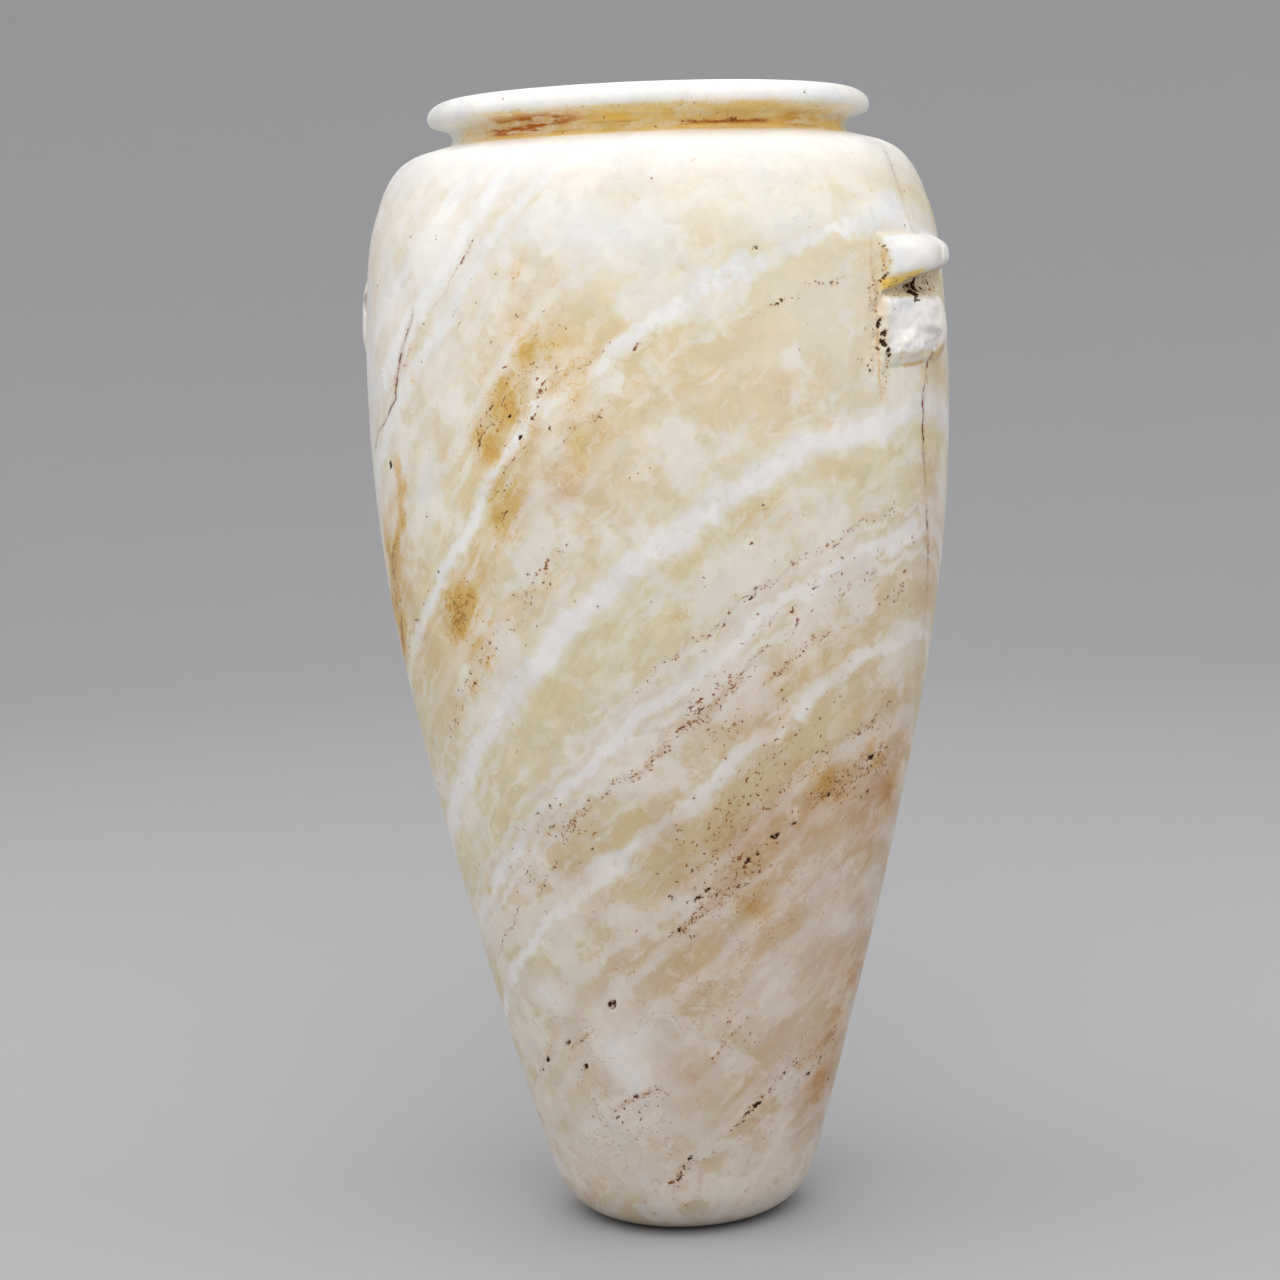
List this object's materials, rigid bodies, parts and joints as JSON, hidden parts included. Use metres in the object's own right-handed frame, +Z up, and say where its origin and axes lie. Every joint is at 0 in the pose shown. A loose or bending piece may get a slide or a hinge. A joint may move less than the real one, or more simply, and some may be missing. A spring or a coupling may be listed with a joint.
{
  "type": "lug-handled jar",
  "caption": "Tall hollow stone jar with a rolled lip, tapering body, small flat foot and drilled lug handles, one of them broken open.",
  "frame": {"origin": "centre of the flat underside", "axes": "+Z up to the mouth, lugs near +X and -X, -Y the front"},
  "size_m": [0.2204, 0.2054, 0.4],
  "materials": {
    "banded_calcite": "satin"
  },
  "bodies": {
    "root": {"jar": "banded_calcite"}
  },
  "joints": []
}
